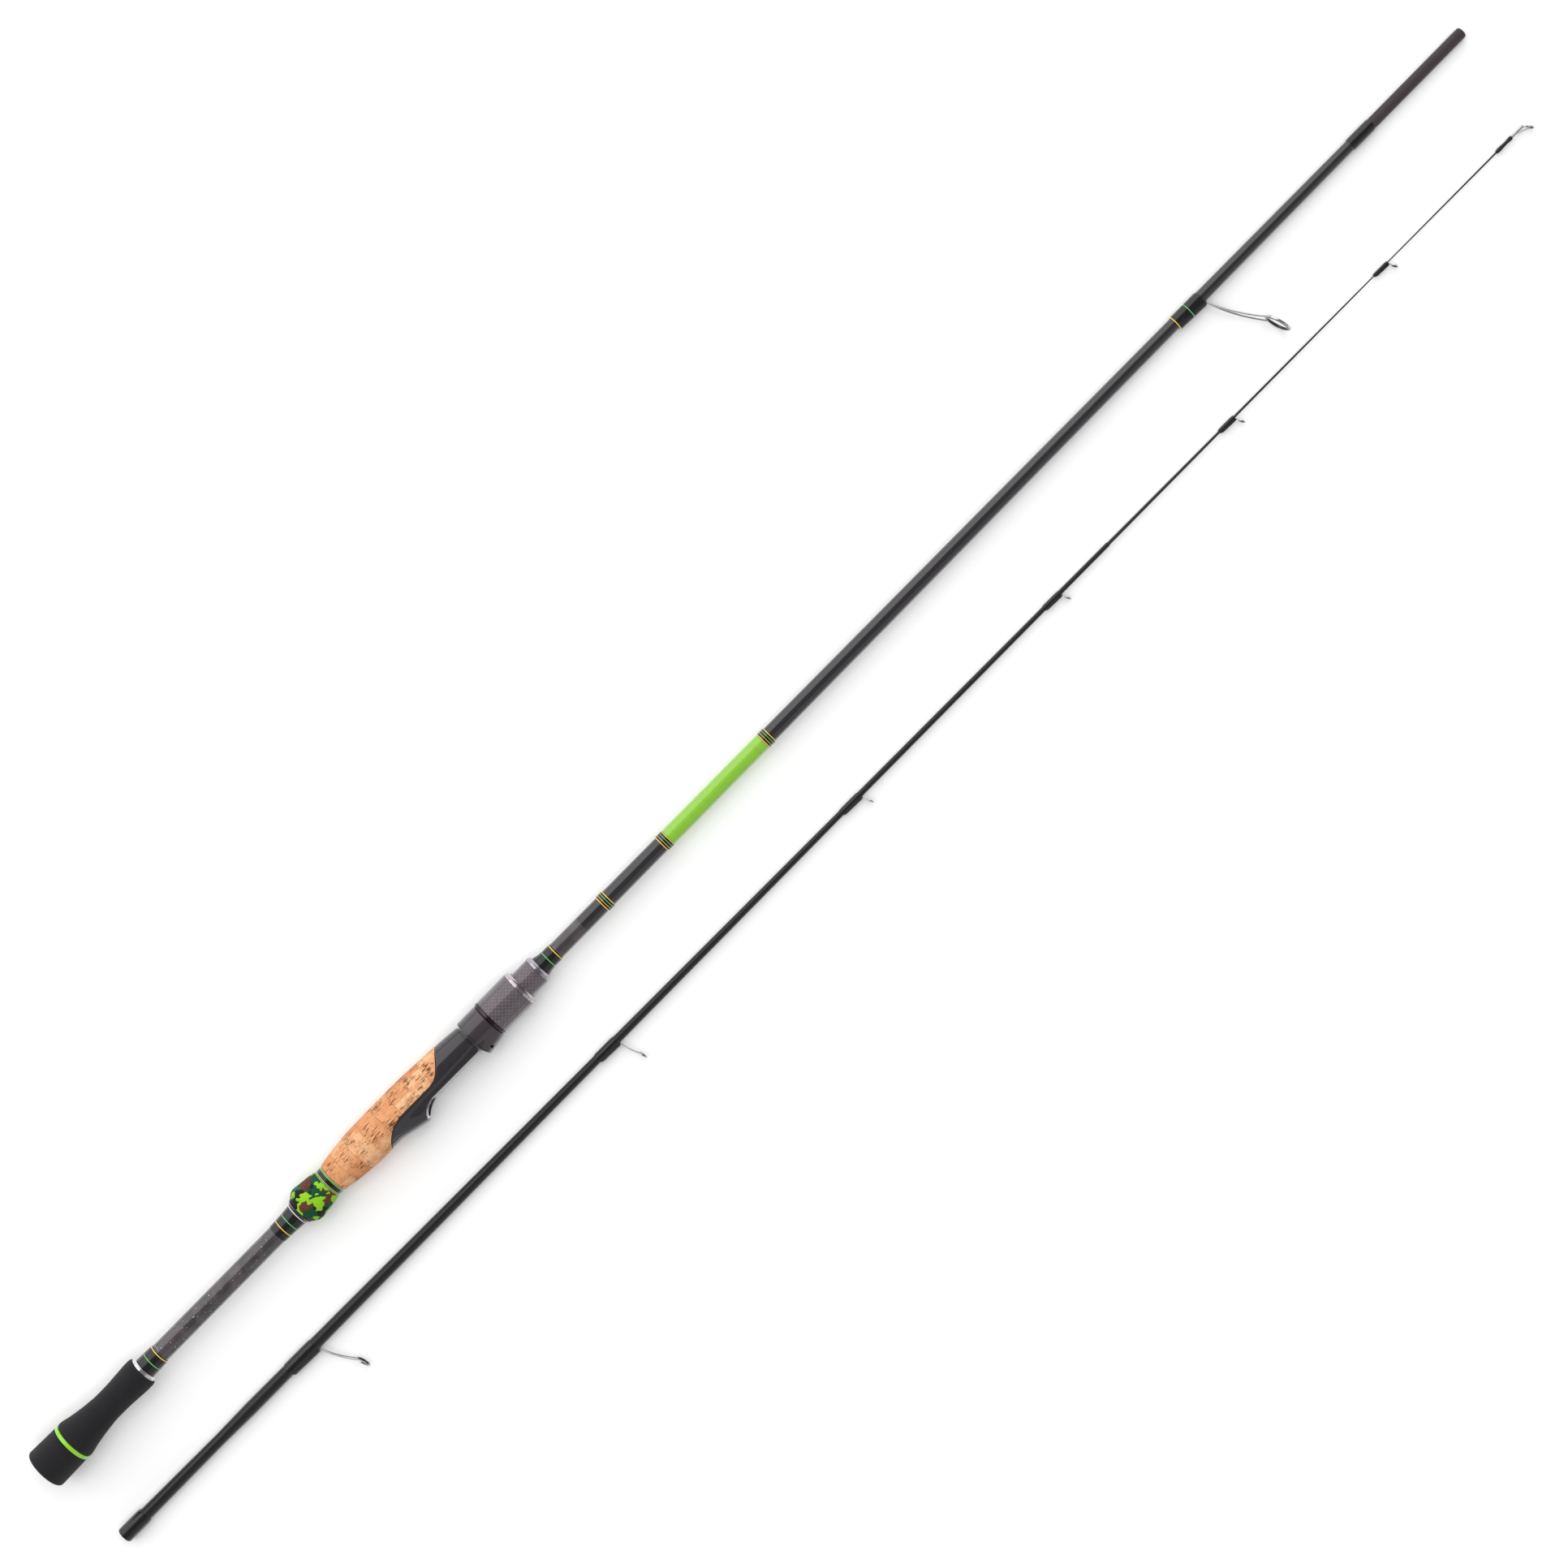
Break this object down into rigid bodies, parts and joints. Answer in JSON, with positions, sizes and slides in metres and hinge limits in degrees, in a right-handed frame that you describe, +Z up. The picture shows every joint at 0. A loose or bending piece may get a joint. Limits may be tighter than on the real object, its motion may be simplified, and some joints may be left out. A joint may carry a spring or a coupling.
{
  "type": "spinning rod",
  "caption": "Two-piece spinning rod with a foam and cork handle, a screw-up reel seat, a stripper guide and running guides, its butt and tip sections laid side by side.",
  "frame": {"origin": "bottom centre of the box round the two sections, on the surface that they lie on", "axes": "+X along the butt section from its butt end to its spigot, +Z up, the reel foot bed and the guides on the -Y side"},
  "size_m": [1.2442, 0.112, 0.0313],
  "materials": {
    "blank": "gloss",
    "grip_foam": "matte",
    "lime_trim": "gloss",
    "bright_ring": "polished",
    "dark_ring": "gloss",
    "thread_wrap": "gloss",
    "camo_foam": "satin",
    "cork": "matte",
    "seat_gloss": "gloss",
    "hood_steel": "polished",
    "arbor_foam": "matte",
    "carbon_weave": "gloss",
    "guide_frame": "polished",
    "guide_ring": "gloss"
  },
  "bodies": {
    "butt_section": {"butt_blank": "blank", "butt_cap_foam": "grip_foam", "green_trim_ring": "lime_trim", "rear_grip_foam": "grip_foam", "rear_check_ring": "bright_ring", "rear_handle_wrap": "thread_wrap", "front_handle_wrap": "thread_wrap", "camo_check_ring": "dark_ring", "camo_grip": "camo_foam", "label_band": "thread_wrap", "cork_grip": "cork", "reel_seat_body": "seat_gloss", "fixed_hood_liner": "hood_steel", "seat_arbor_rear": "arbor_foam", "seat_arbor_front": "arbor_foam", "fore_sleeve": "carbon_weave", "fore_check_ring": "bright_ring", "fore_wrap": "thread_wrap", "trim_band_1": "thread_wrap", "trim_band_2": "thread_wrap", "trim_band_3": "thread_wrap", "green_panel_sleeve": "lime_trim", "stripper_guide_wrap": "thread_wrap", "stripper_guide_frame": "guide_frame", "stripper_guide_ring": "guide_ring", "spigot_wrap": "thread_wrap"},
    "moving_hood": {"moving_hood": "seat_gloss"},
    "lock_nut": {"nut_rear_ring": "dark_ring", "lock_nut": "carbon_weave", "nut_front_ring": "bright_ring"},
    "tip_section": {"tip_blank": "blank", "socket_wrap": "thread_wrap", "guide_1_wrap": "thread_wrap", "guide_1_frame": "guide_frame", "guide_1_ring": "guide_ring", "guide_2_wrap": "thread_wrap", "guide_2_frame": "guide_frame", "guide_2_ring": "guide_ring", "guide_3_wrap": "thread_wrap", "guide_3_frame": "guide_frame", "guide_3_ring": "guide_ring", "guide_4_wrap": "thread_wrap", "guide_4_frame": "guide_frame", "guide_4_ring": "guide_ring", "guide_5_wrap": "thread_wrap", "guide_5_frame": "guide_frame", "guide_5_ring": "guide_ring", "guide_6_wrap": "thread_wrap", "guide_6_frame": "guide_frame", "guide_6_ring": "guide_ring", "tiptop_wrap": "thread_wrap", "tiptop_frame": "guide_frame", "tiptop_ring": "guide_ring"}
  },
  "joints": [
    {"name": "hood_slide", "type": "slide", "parent": "butt_section", "child": "moving_hood", "axis": [0.9999, 0, -0.0109], "range_m": [-0.0012, 0.013]},
    {"name": "nut_turn", "type": "hinge", "parent": "moving_hood", "child": "lock_nut", "pos_m": [-0.21993, 0.04191, 0.01285], "axis": [0.9999, 0, -0.0109], "range_deg": [-216, 2340]},
    {"name": "tip_slide", "type": "slide", "parent": "butt_section", "child": "tip_section", "axis": [1, -0.0035, -0.002], "range_m": [0, 1.17]}
  ],
  "couplings": [
    {"joint": "hood_slide", "follows": "nut_turn", "m_per_rad": 0.00031831}
  ]
}
